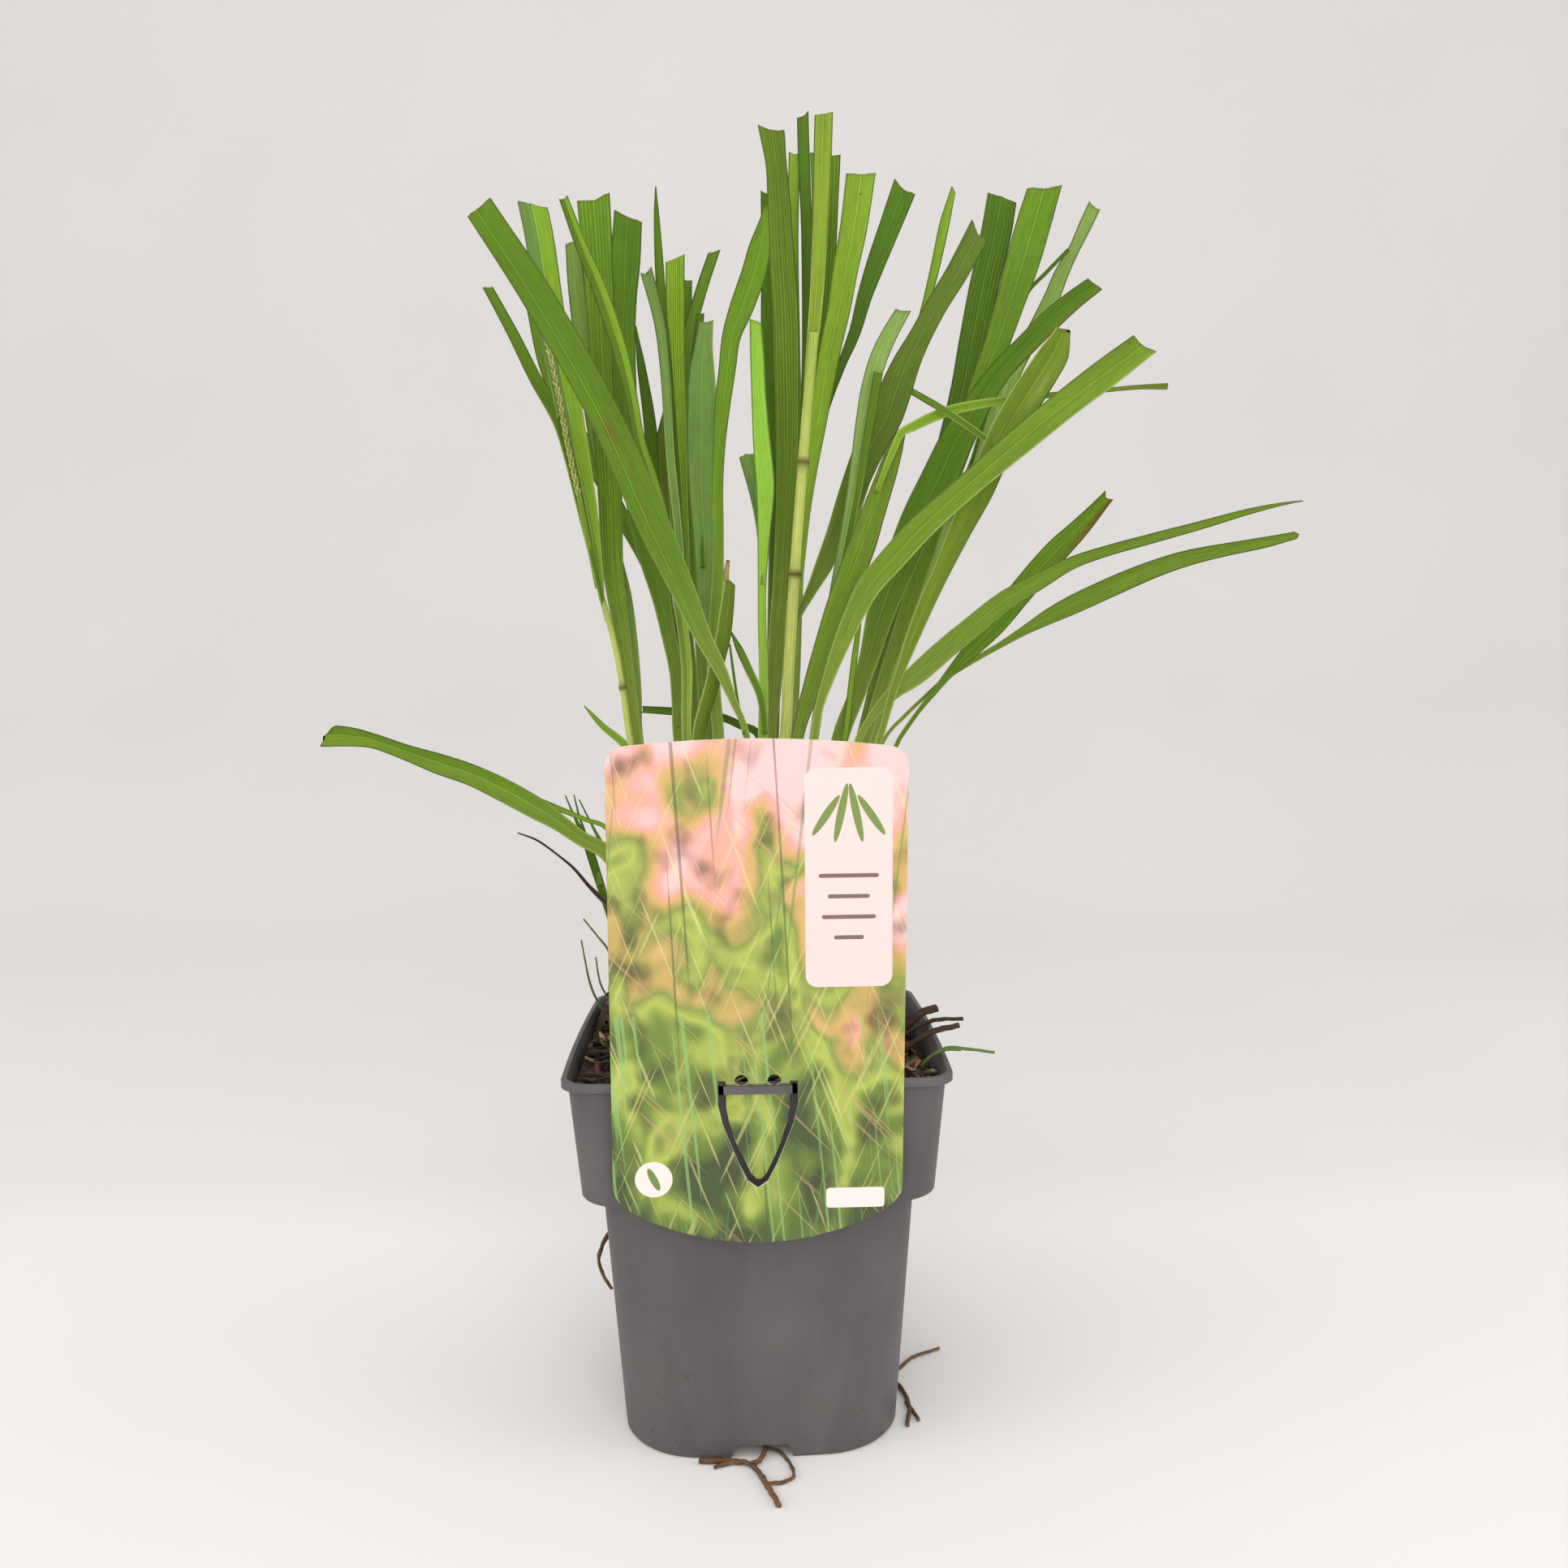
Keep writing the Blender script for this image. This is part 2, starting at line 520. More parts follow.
        leaf([(1004, 907, 8), (1009, 873, 10), (1021, 835, 14), (1034, 800, 19), (1051, 760, 24),
            (1071, 722, 28), (1100, 688, 31), (1138, 647, 31), (1196, 595, 30), (1262, 539, 34),
            (1320, 492, 35), (1365, 458, 36), (1411, 423, 33)], turn=-8, tone="meadow", cut=(-5, -3, 5),
            pale=1)),
    tiller("tiller_right_dark", 0.18,
        leaf([(1062, 906, 12), (1085, 820, 16), (1110, 740, 22), (1135, 660, 26), (1158, 590, 28),
            (1175, 530, 30), (1187, 480, 31), (1199, 420, 34), (1213, 350, 35), (1227, 290, 37),
            (1235, 243, 36)], turn=12, tone="deep", ribs=True, cut=(2, 2, -3))),
    tiller("tiller_right_light", 0.02,
        leaf([(1068, 906, 12), (1092, 830, 16), (1125, 730, 20), (1160, 620, 22), (1185, 550, 24),
            (1207, 480, 28), (1228, 424, 31), (1243, 378, 35), (1259, 326, 41), (1274, 274, 42),
            (1287, 230, 40)], turn=-10, tone="rich", cut=(-5, 0, 5))),
    tiller("tiller_right_far", 0.4,
        leaf([(1075, 906, 11), (1102, 830, 13), (1140, 720, 15), (1180, 630, 18), (1205, 570, 20),
            (1228, 510, 20), (1250, 455, 20), (1275, 408, 19), (1297, 364, 19), (1308, 337, 17),
            (1323, 308, 13), (1338, 276, 16), (1349, 253, 16)], turn=25, tone="faded"),
        sprout([(1175, 645, 5), (1225, 480, 5), (1264, 364, 4), (1290, 335, 4), (1316, 308, 4)],
            layer=-0.03, tone="deep")),
    tiller("tiller_right_olive", -0.3,
        leaf([(1036, 907, 20), (1054, 860, 20), (1071, 810, 24), (1085, 757, 33), (1107, 700, 38),
            (1132, 640, 43), (1157, 590, 44), (1178, 545, 41), (1196, 513, 35), (1216, 480, 30),
            (1237, 452, 27), (1258, 431, 26), (1298, 391, 26), (1325, 368, 23), (1349, 350, 21)], turn=8,
            tone="grass", cut=(-3, 0, 4), stains=((0.95, 0.09, 1, 0.2, RUST_TONE, 0.6),)),
        leaf([(1041, 907, 7), (1047, 860, 7), (1053, 810, 7), (1057, 780, 6), (1062, 740, 4)], layer=-0.06,
            tone="light", base=2)),
    tiller("tiller_right_bitten", -0.84,
        leaf([(1085, 907, 8), (1101, 850, 10), (1112, 819, 12), (1126, 781, 17), (1144, 738, 20),
            (1160, 704, 21), (1185, 649, 28), (1206, 607, 33), (1226, 560, 36), (1246, 520, 38),
            (1266, 488, 40), (1284, 460, 39), (1301, 432, 35), (1311, 405, 18)], turn=10, tone="moss",
            pale=-1, torn=5,
            stains=((0.93, 0.03, 0.4, 0.2, PALE_MARGIN, 0.3), (0.84, 0.02, -0.2, 0.2, PALE_MARGIN, 0.25))),
        sprout([(1228, 553, 6), (1212, 539, 7), (1164, 506, 8), (1123, 482, 7)], layer=0.05, tone="mid",
            fold=0)),
    tiller("tiller_low_light", -0.62,
        leaf([(1060, 907, 9), (1074, 884, 10), (1101, 853, 17), (1127, 833, 25), (1162, 802, 27),
            (1197, 773, 26), (1240, 739, 24), (1281, 716, 20), (1320, 694, 15), (1360, 680, 13),
            (1410, 666, 12), (1480, 647, 10), (1540, 630, 7), (1585, 620, 3), (1606, 617, 1)], turn=10,
            tone="meadow")),
    tiller("tiller_low_dark", -0.4,
        leaf([(1106, 915, 5), (1118, 896, 5), (1133, 875, 5), (1151, 853, 7), (1168, 832, 10),
            (1192, 806, 18), (1226, 770, 25), (1261, 726, 29), (1301, 680, 29), (1332, 649, 23),
            (1366, 611, 14)], tone="rich", base=2, ribs=True, cut=(2, -4, 1),
            stains=((0.97, 0.06, 0.8, 0.35, RUST_TONE, 0.9),)),
        leaf([(1089, 912, 4), (1115, 882, 4), (1140, 858, 4), (1165, 836, 5), (1199, 814, 6),
            (1232, 795, 7), (1262, 777, 11), (1290, 761, 18), (1320, 746, 23), (1350, 732, 24),
            (1388, 715, 23), (1425, 700, 21), (1462, 688, 19), (1502, 679, 16), (1560, 668, 13),
            (1599, 659, 9)], layer=0.06, turn=12, tone="meadow", base=2, cut=(-3, 2, -2))),
    tiller("tiller_low_left", -0.25,
        leaf([(752, 1056, 18), (716, 1033, 18), (688, 1013, 21), (661, 996, 27), (621, 974, 28),
            (581, 955, 26), (540, 941, 25), (500, 927, 19), (460, 913, 18), (433, 908, 23), (410, 907, 25),
            (400, 908, 22)], turn=5, tone="mid", half="meadow", torn=5, rib=0.1, cut=(5, 0, -13)),
        leaf([(750, 1023, 5), (722, 1010, 5), (700, 1001, 6), (670, 989, 7), (640, 975, 5)], layer=0.07,
            turn=5, base=2, tone="light")),
    tiller("tiller_cut_short", 0.09,
        leaf([(935, 906, 9), (913, 894, 9), (890, 884, 9), (858, 879, 9), (822, 876, 9), (791, 874, 8)],
            turn=5, base=2.4, tone="deep"), foot=(-12, 2.5)),
    tiller("weed_grass_left", 0.34,
        leaf([(757, 1145, 9), (746, 1110, 9), (734, 1072, 10), (724, 1042, 9), (712, 1015, 4),
            (705, 1000, 2), (696, 979, 1)], base=2, tone="mid"),
        sprout([(740, 1090, 6), (730, 1055, 5), (721, 1027, 3), (713, 1003, 2), (707, 979, 1)], layer=0.04,
            tone="weed"),
        leaf([(762, 1090, 5), (748, 1051, 5), (739, 1035, 4), (728, 1014, 2), (713, 984, 1)], layer=0.08,
            base=1.6, tone="weed"),
        leaf([(759, 1125, 7), (751, 1116, 7), (739, 1105, 6), (725, 1091, 4), (707, 1070, 3),
            (688, 1054, 2), (661, 1035, 2), (637, 1026, 1)], layer=-0.06, base=1.6,
            tone="purple"), foot=(-44, 12)),
]

# Tillers that the view hides: each stands behind one that is seen, at a depth, and is cut at a row
HIDDEN = [
    ("tiller_front_left", 1, 400),
    ("tiller_front_right", 1, 440),
    ("tiller_left_dark", 0.88, 390),
    ("tiller_silver", 0.9, 430),
    ("tiller_centre_tall", 0.83, 380),
    ("tiller_right_bitten", 0.86, 440),
    ("tiller_left_broad", 0.71, 360),
    ("tiller_spiky", 0.81, 400),
    ("tiller_bright", 0.72, 420),
    ("tiller_right_olive", 0.72, 380),
    ("tiller_centre_light", 0.5, 310),
    ("tiller_right_light", 0.58, 330),
]
HIDDEN_WIDTH = 0.85
HIDDEN_LEAST = 8
SECOND_WIDTH = 0.7
SECOND_SHORTER = 70
SOIL_ROW = 1285
TOP_ROW = 140
SPREAD_POWER = 1.2


def cut_at(path, row):
    """A path up to a row of the photograph."""
    kept = [point for point in path if point[1] > row]
    if len(kept) == len(path):
        return kept
    (u0, v0, w0), (u1, v1, w1) = kept[-1], path[len(kept)]
    share = (v0 - row) / (v0 - v1)
    return kept + [(lerp(u0, u1, share), row, lerp(w0, w1, share))]


def hidden_tiller(behind, depth, row):
    """A tiller like the one it stands behind, narrower, and turned the other way."""
    front = next(item for item in TILLERS if item["name"] == behind)
    first = front["parts"][0]
    path = [(u, v, max(HIDDEN_LEAST, w * HIDDEN_WIDTH)) for u, v, w in cut_at(first["path"], row)]
    second = [(u, v, w * SECOND_WIDTH) for u, v, w in cut_at(path[2:], row + SECOND_SHORTER)]
    return tiller(
        behind.replace("tiller", "tiller_behind"), depth,
        leaf(path, turn=-first.get("turn", TURN), tone="mid"),
        sprout(second, layer=0.04, turn=30, tone="light"),
    )


def spread_at(row):
    """Half the clump's depth at a row of the photograph: it widens from the soil to the tips."""
    rise = max(0, (SOIL_ROW - row) / (SOIL_ROW - TOP_ROW))
    return FOOT_SPREAD + (TIP_SPREAD - FOOT_SPREAD) * rise ** SPREAD_POWER


class Spine:
    """A smooth curve through points, walked by its length, with a width that runs along with it."""

    DIVISIONS = 200
    LEAST_WIDTH = 0.25
    NEARBY = 1e-4

    def __init__(self, points, widths):
        self.points = points
        self.widths = widths
        places = [self.place(k / self.DIVISIONS) for k in range(self.DIVISIONS + 1)]
        self.lengths = [0]
        for before, after in zip(places, places[1:]):
            self.lengths.append(self.lengths[-1] + (after - before).length)
        self.length = self.lengths[-1]

    def stretch(self, t):
        """Which stretch between two points t lies in, and how far along it."""
        last = len(self.points) - 1
        i = min(int(last * t), last - 1)
        return i, last * t - i

    def place(self, t):
        i, weight = self.stretch(t)
        p1, p2 = self.points[i], self.points[i + 1]
        p0 = self.points[i - 1] if i else 2 * p1 - p2
        p3 = self.points[i + 2] if i + 2 < len(self.points) else 2 * p2 - p1
        gap1 = math.sqrt((p2 - p1).length) or 1
        gap0 = math.sqrt((p1 - p0).length) or gap1
        gap2 = math.sqrt((p3 - p2).length) or gap1
        t1 = ((p1 - p0) / gap0 - (p2 - p0) / (gap0 + gap1) + (p2 - p1) / gap1) * gap1
        t2 = ((p2 - p1) / gap1 - (p3 - p1) / (gap1 + gap2) + (p3 - p2) / gap2) * gap1
        square, cube = weight ** 2, weight ** 3
        curve = p1 + t1 * weight + (-3 * p1 + 3 * p2 - 2 * t1 - t2) * square
        return curve + (2 * p1 - 2 * p2 + t1 + t2) * cube

    def width(self, t):
        i, weight = self.stretch(t)
        w1, w2 = self.widths[i], self.widths[i + 1]
        w0 = self.widths[i - 1] if i else w1
        w3 = self.widths[i + 2] if i + 2 < len(self.widths) else w2
        slope1, slope2 = (w2 - w0) / 2, (w3 - w1) / 2
        square, cube = weight ** 2, weight ** 3
        curve = w1 + slope1 * weight + (3 * (w2 - w1) - 2 * slope1 - slope2) * square
        return max(self.LEAST_WIDTH, curve + (2 * (w1 - w2) + slope1 + slope2) * cube)

    def walk(self, share):
        """Place, direction and width at a share of the length."""
        target = share * self.length
        k = max(i for i in range(self.DIVISIONS) if self.lengths[i] <= target)
        step = self.lengths[k + 1] - self.lengths[k]
        t = (k + (target - self.lengths[k]) / step) / self.DIVISIONS
        t = min(1, t)
        ahead, behind = self.place(min(1, t + self.NEARBY)), self.place(max(0, t - self.NEARBY))
        return self.place(t), (ahead - behind).normalized(), self.width(t)


def thin_spine(points):
    """A curve without a width of its own."""
    return Spine([Vector(point) for point in points], [0] * len(points))


SHEATH_WIDTH = 4.2
SHEATH_THICKNESS = 2.2
BLADE_THICKNESS = 0.45
FOOT_SHARE = 0.4


def spine_of(part, owner):
    """A rooted part comes out of the soil at its tiller's foot, and a sprout starts from the first part."""
    layer = part.get("layer", 0)
    sprouts = part.get("sprouts")
    seen = []
    widths = []
    for index, point in enumerate(part["path"]):
        depth = owner["depth"] + (0 if sprouts and index == 0 else layer)
        place = sight_point(point[0], point[1], depth * spread_at(point[1]))
        seen.append(place)
        widths.append(point[2] * pixel_size(place) if len(point) > 2 else 0)
    if sprouts:
        return Spine(seen, widths)
    x, y = owner["foot"] or (lerp(CLUMP_X, seen[0].x, FOOT_SHARE), owner["depth"] * FOOT_SPREAD)
    base = part.get("base", SHEATH_WIDTH)
    below = [Vector((x, y, SOIL_LEVEL - SUNK)), Vector((x, y, SOIL_LEVEL - 2))]
    return Spine(below + seen, [base, base] + widths)


# Blade sections: places across from -1 to 1, steps along, and what a part has where its looks don't say
INNER_SIDES = (-0.62, -0.46, -0.25, -0.07, 0, 0.07, 0.25, 0.46, 0.62)
BLADE_STEPS = 84
TIP_SHARES = (0.975, 0.99, 0.996, 0.9985, 1)
EDGE_PIXELS = 0.6
MARGIN_PIXELS = 1.2
WIDEST_MARGIN = 0.24
TURN = 15
FOLD = 0.22
CUT = (0, -2, 0)
TORN = 1.6
BROWN_SHARE = 0.003

# Shares of a blade's length from which, and up to which, a change comes in
GREENS = (0.18, 0.7)
LEAVES_FOOT = (0.02, 0.12)
MARGIN_DARKENS = (0.45, 0.8)
RIBS_RISE = (0.15, 0.35)
THINS = (0.05, 0.35)
TURNS = (0.1, 0.6)
FOLDS = (0.1, 0.4)
RIPPLES = (0.3, 0.5)
WAVES = (0.3, 0.6)
TIP = (0.965, 1)


def blade_shares():
    """Places along a blade's length: even ones, then closer ones at its cut end."""
    even = [k / BLADE_STEPS for k in range(BLADE_STEPS) if k + 0.5 < BLADE_STEPS * TIP_SHARES[0]]
    return even + list(TIP_SHARES)


def sides_of(pixels):
    """Places across a blade, from -1 to 1: two close to each edge hold the thin margin."""
    margin = min(WIDEST_MARGIN, 2 * MARGIN_PIXELS / pixels)
    outer = (1, 1 - margin, 1 - 1.5 * margin)
    return [-side for side in outer] + list(INNER_SIDES) + list(reversed(outer))


def blade_tint(part, s, side, length, seed, pixels, in_margin):
    """The colour at a share of a blade's length and a side from -1 to 1, then the ribs' strength."""
    rib = part.get("rib", 0)
    tone = TONES[part.get("tone", "grass")]
    if "half" in part and side < rib:
        tone = TONES[part["half"]]
    drift = noise.noise(Vector((s * length / 45, side * 0.8, seed * 3.7)))
    tone = tuple(c * (1 + 0.16 * drift) for c in tone)
    if not part.get("sprouts"):
        tone = blend(SHEATH_TONE, tone, smoothstep(s, *GREENS))
        tone = blend(FOOT_TONE, tone, smoothstep(s, *LEAVES_FOOT))
    if in_margin:
        margin = blend(PALE_MARGIN, MARGIN_TONE, smoothstep(s, *MARGIN_DARKENS))
        if part.get("pale") == (1 if side > 0 else -1):
            margin = PALE_MARGIN
        if part.get("purple_rim"):
            margin = RIM_TONE
        tone = blend(tone, margin, 0.6)
    for middle, reach, place, spread, stain, strength in part.get("stains", ()):
        near = math.exp(-((s - middle) / reach) ** 2 - ((side - place) / spread) ** 2)
        tone = blend(tone, stain, strength * near)
    tone = blend(tone, CUT_TONE, 0.6 * smoothstep(s, 1 - part.get("tipbrown", BROWN_SHARE), 1))
    ribs = (1 if part.get("ribs") else 0.16) * smoothstep(s, *RIBS_RISE) * smoothstep(pixels, 6, 16)
    return (*tone, ribs)


def add_blade(shape, part, owner, seed):
    """A blade: a folded strip, thick at its sheath, thin at its edges, with a groove along the midrib."""
    turn = math.radians(part.get("turn", TURN))
    fold = part.get("fold", FOLD)
    left_cut, middle_cut, right_cut = part.get("cut", CUT)
    spine = spine_of(part, owner)
    base = min(SHEATH_THICKNESS, 0.6 * part.get("base", 2 if part.get("sprouts") else SHEATH_WIDTH))
    rings = []
    for s in blade_shares():
        centre, along, width = spine.walk(s)
        sight = (centre - PLACE).normalized()
        across = Matrix.Rotation(turn * smoothstep(s, *TURNS), 3, along) @ sight.cross(along).normalized()
        face = across.cross(along)
        pixel = pixel_size(centre)
        half = (width + EDGE_PIXELS * pixel) / math.cos(turn) / 2
        thick = min(lerp(base, BLADE_THICKNESS, smoothstep(s, *THINS)), width * 0.7) / 2
        valley = fold * half * smoothstep(s, *FOLDS)
        wave = 0.35 * noise.noise(Vector((s * spine.length / 30, seed * 5.1, 0))) * smoothstep(s, *WAVES)
        tip = smoothstep(s, *TIP)
        upper, lower, tints, grain = [], [], [], []
        sides = sides_of(width / pixel)
        for index, side in enumerate(sides):
            stand = lerp(middle_cut, left_cut if side < 0 else right_cut, abs(side))
            stand += part.get("torn", TORN) * noise.noise(Vector((side * 4.3, seed * 1.7, 0)))
            groove = -0.18 * thick if abs(side) < 0.04 else 0
            ripple = 0.16 * math.cos(9 * side) * smoothstep(s, *RIPPLES) if part.get("ribs") else 0
            height = thick * math.sqrt(max(0.06, 1 - side * side)) + groove
            middle = centre + across * (side * half) + along * (stand * pixel * tip)
            middle += face * (ripple - valley * (1 - abs(side) ** 1.4) + wave * side * half * 0.4)
            upper.append(middle + face * height)
            lower.append(middle - face * height)
            in_margin = index in (0, 1, len(sides) - 2, len(sides) - 1)
            tints.append(blade_tint(part, s, side, spine.length, seed, width / pixel, in_margin))
            grain.append(((side - part.get("rib", 0)) / 2 + 0.5 + seed, s * spine.length))
        rings.append((upper + lower[::-1], tints + tints[::-1], grain + grain[::-1]))
    shape.add(rings)


def add_tube(shape, spine, radius_at, tint_at, sides=10, steps=60, wobble=0.0, seed=0):
    """A round stem: its radius in millimetres and its tint are functions of the share of its length."""
    across = None
    rings = []
    for k in range(steps + 1):
        s = k / steps
        centre, along, _ = spine.walk(s)
        if across is None:
            across = UP if abs(along.z) < 0.9 else Vector((1, 0, 0))
        across = (across - along * across.dot(along)).normalized()
        other = along.cross(across)
        points, tints, grain = [], [], []
        for j in range(sides):
            angle = 2 * math.pi * j / sides
            bump = wobble * noise.noise(Vector((s * spine.length / 3, angle, seed * 7.3)))
            radius = radius_at(s) * (1 + bump)
            points.append(centre + across * (radius * math.cos(angle)) + other * (radius * math.sin(angle)))
            tints.append(tint_at(s))
            grain.append((j / sides + seed, s * spine.length))
        rings.append((points, tints, grain))
    shape.add(rings)


def add_culm(shape, part, owner, seed):
    """A culm with a swollen dark node where each row in its list is."""
    spine = spine_of(part, owner)
    first, last = part["radius"]
    rows = [v for _, v in part["path"]]
    knots = [part["path"].index(point) for point in part["path"] if point[1] in part.get("nodes", ())]
    shares = []
    for knot in knots:
        place = sight_point(*part["path"][knot][:2], owner["depth"] * spread_at(rows[knot]))
        shares.append(min((k / 100 for k in range(101)), key=lambda s: (spine.walk(s)[0] - place).length))

    def swell(s):
        return sum(math.exp(-((s - share) / 0.006) ** 2) for share in shares)

    def radius_at(s):
        return lerp(first, last, s) * (1 + 0.3 * swell(s))

    def tint_at(s):
        tone = blend(SHEATH_TONE, STRAW_TONE, smoothstep(s, 0.1, 0.4))
        tone = blend(tone, TONES["light"], 0.5 * smoothstep(s, 0.8, 1))
        return (*blend(tone, NODE_TONE, min(1, swell(s))), 0.5)

    add_tube(shape, spine, radius_at, tint_at, 12, 120, 0.04, seed)


BUD_COUNT = 110
FIRST_BUD = 0.36
BUD_TURN = 2.4
BUD_STEP = 1.15


def bud_radius(share):
    return 0.08 + 0.3 * math.sin(math.pi * (0.12 + 0.8 * share))


def add_panicle(shape, part, owner, draw):
    """Buds in a narrow spike along the upper part of a stalk."""
    spine = spine_of(part, owner)
    for k in range(BUD_COUNT):
        s = min(1, lerp(FIRST_BUD, 1, k / (BUD_COUNT - 1)))
        centre, along, _ = spine.walk(s)
        angle = k * BUD_TURN
        side = along.cross(UP if abs(along.z) < 0.9 else Vector((1, 0, 0))).normalized()
        out = Matrix.Rotation(angle, 3, along) @ side
        spread = 1.1 * (1 - 0.6 * s)
        direction = (along * 0.94 + out * 0.34).normalized()
        start = centre + out * (0.45 * spread)
        points = [start + direction * (step * BUD_STEP) for step in range(3)]
        tone = (*blend(BUD_TONE, TONES["weed"], draw.random() * 0.5), 0)
        add_tube(shape, thin_spine(points), bud_radius, lambda s: tone, 6, 6, 0, k)


def make_tillers(material):
    draw = random.Random(4)
    for seed, owner in enumerate(TILLERS + [hidden_tiller(*row) for row in HIDDEN]):
        shape = Shape()
        for index, part in enumerate(owner["parts"]):
            mark = seed * 5 + index
            if "radius" in part:
                add_culm(shape, part, owner, mark)
            else:
                add_blade(shape, part, owner, mark)
            if part.get("panicle"):
                add_panicle(shape, part, owner, draw)
        shape.piece(owner["name"] + "_blades", material, [owner["name"]])


# Pot: a square with round corners and slightly bowed sides at every level, as (height, half, corner, bow)
POT_OUTSIDE = [
    (0, 50.4, 28.6, 1),
    (1.4, 51.4, 29.4, 1),
    (STEP_HEIGHT - 0.5, 56.2, 13, 1),
    (STEP_HEIGHT - 0.1, 56.5, 13.1, 1),
    (STEP_HEIGHT, 62.4, 14.2, 1.5),
    (STEP_HEIGHT + 0.4, 62.9, 14.5, 1.5),
    (STEP_HEIGHT + 0.9, 63.2, 14.7, 1.5),
    (POT_HEIGHT - LIP_HEIGHT - 0.3, 66.4, 11.5, 1.5),
    (POT_HEIGHT - LIP_HEIGHT - 0.1, 66.6, 11.5, 1.5),
    (POT_HEIGHT - LIP_HEIGHT, RIM_WIDTH / 2 - 0.4, 10.7, 1.5),
    (POT_HEIGHT - LIP_HEIGHT + 0.3, RIM_WIDTH / 2, 10.7, 1.5),
    (POT_HEIGHT - 0.5, RIM_WIDTH / 2, 10.7, 1.5),
    (POT_HEIGHT - 0.1, RIM_WIDTH / 2 - 0.2, 10.5, 1.5),
    (POT_HEIGHT, RIM_WIDTH / 2 - 0.6, 10.3, 1.5),
]
# The inside's first level stands over the rim, so that the cut goes through
POT_INSIDE = [
    (POT_HEIGHT + 0.5, 66.9, 9.6, 1.5),
    (POT_HEIGHT - 0.4, 66.5, 9.6, 1.5),
    (POT_HEIGHT - LIP_HEIGHT, 65.3, 10.3, 1.5),
    (STEP_HEIGHT + 1.4, 62, 13.5, 1.5),
    (STEP_HEIGHT + 0.7, 55, 12, 1),
    (1.6, 50.1, 28.2, 1),
]
CORNER_STEPS = 14
SIDE_STEPS = 8
CHANNEL_FOOT = 24
CHANNEL_HEAD = 19.5
CHANNEL_HEIGHT = 5.3
CHANNEL_FRONT = 57
CHANNEL_BACK = 30.3
DRAIN_PLACE = 38
DRAIN_RADIUS = 4
ROOT_HOLE = (12, 62)
ROOT_HOLE_RADIUS = 1.6
BAR_WIDTH = 23.4
BAR_FRONT = -72.5
BAR_THICKNESS = 1
EAR_WIDTH = 1.6
EAR_DEPTH = 3.4
EDGE_RADIUS = 0.25
QUARTERS = [k * math.pi / 2 for k in range(4)]


def square_ring(z, half, corner, bow):
    """A ring of points round a square with round corners, its sides bowed outwards."""
    straight = half - corner
    quarter = []
    for k in range(SIDE_STEPS):
        s = k / SIDE_STEPS - 0.5
        quarter.append(Vector((half + bow * (1 - 4 * s * s) * 0.75, 2 * s * straight, z)))
    for k in range(CORNER_STEPS + 1):
        angle = k / CORNER_STEPS * math.pi / 2
        x, y = straight + corner * math.cos(angle), straight + corner * math.sin(angle)
        quarter.append(Vector((x, y, z)))
    return [Matrix.Rotation(turn, 3, "Z") @ point for turn in QUARTERS for point in quarter]


def rings_solid(name, rings):
    """A closed body through rings of points, its faces turned outwards."""
    mesh = bpy.data.meshes.new(name)
    faces = ring_faces(0, len(rings), len(rings[0]))
    mesh.from_pydata([point * MM for ring in rings for point in ring], [], faces)
    skin = bmesh.new()
    skin.from_mesh(mesh)
    bmesh.ops.recalc_face_normals(skin, faces=skin.faces)
    skin.to_mesh(mesh)
    skin.free()
    made = bpy.data.objects.new(name, mesh)
    bpy.context.scene.collection.objects.link(made)
    return made


def cut_away(target, tool, operation="DIFFERENCE"):
    """Cuts a tool from a solid, or joins it, for good, and removes the tool."""
    modifier = target.modifiers.new("cut", "BOOLEAN")
    modifier.object = tool
    modifier.operation = operation
    modifier.solver = "EXACT"
    ready = target.evaluated_get(bpy.context.evaluated_depsgraph_get())
    mesh = bpy.data.meshes.new_from_object(ready)
    target.modifiers.clear()
    target.data = mesh
    bpy.data.objects.remove(tool)


def channel(turn, grow=0):
    """A drainage channel in the foot, from the middle of one side inwards; grow widens it for walls."""
    foot, head = CHANNEL_FOOT / 2 + grow, CHANNEL_HEAD / 2 + grow
    top = CHANNEL_HEIGHT + grow
    front, back = -CHANNEL_FRONT, -CHANNEL_BACK + grow
    half = [(foot, -1), (head, top - 1), (head - 1, top)]
    section = half + [(-x, z) for x, z in reversed(half)]
    spin = Matrix.Rotation(turn, 3, "Z")
    rings = [[spin @ Vector((x, y, z)) for x, z in section] for y in (front, back)]
    return rings_solid("channel", rings)


def block(width, depth, height, x, y, z):
    half = Vector((width, depth, height)) / 2
    rings = []
    for side in (-1, 1):
        corners = [(-1, -1), (1, -1), (1, 1), (-1, 1)]
        rings.append([Vector((x + a * half.x, y + b * half.y, z + side * half.z)) for a, b in corners])
    return rings_solid("block", rings)


def rod(ends, across, other, radius, sides):
    """A round bar between two points, its section along two directions."""
    angles = [2 * math.pi * k / sides for k in range(sides)]
    section = [across * (radius * math.cos(a)) + other * (radius * math.sin(a)) for a in angles]
    return rings_solid("rod", [[end + point for point in section] for end in ends])


def drain(turn):
    x, y = math.sin(turn) * DRAIN_PLACE, -math.cos(turn) * DRAIN_PLACE
    ends = [Vector((x, y, z)) for z in (-2, 12)]
    return rod(ends, Vector((1, 0, 0)), Vector((0, 1, 0)), DRAIN_RADIUS, 32)


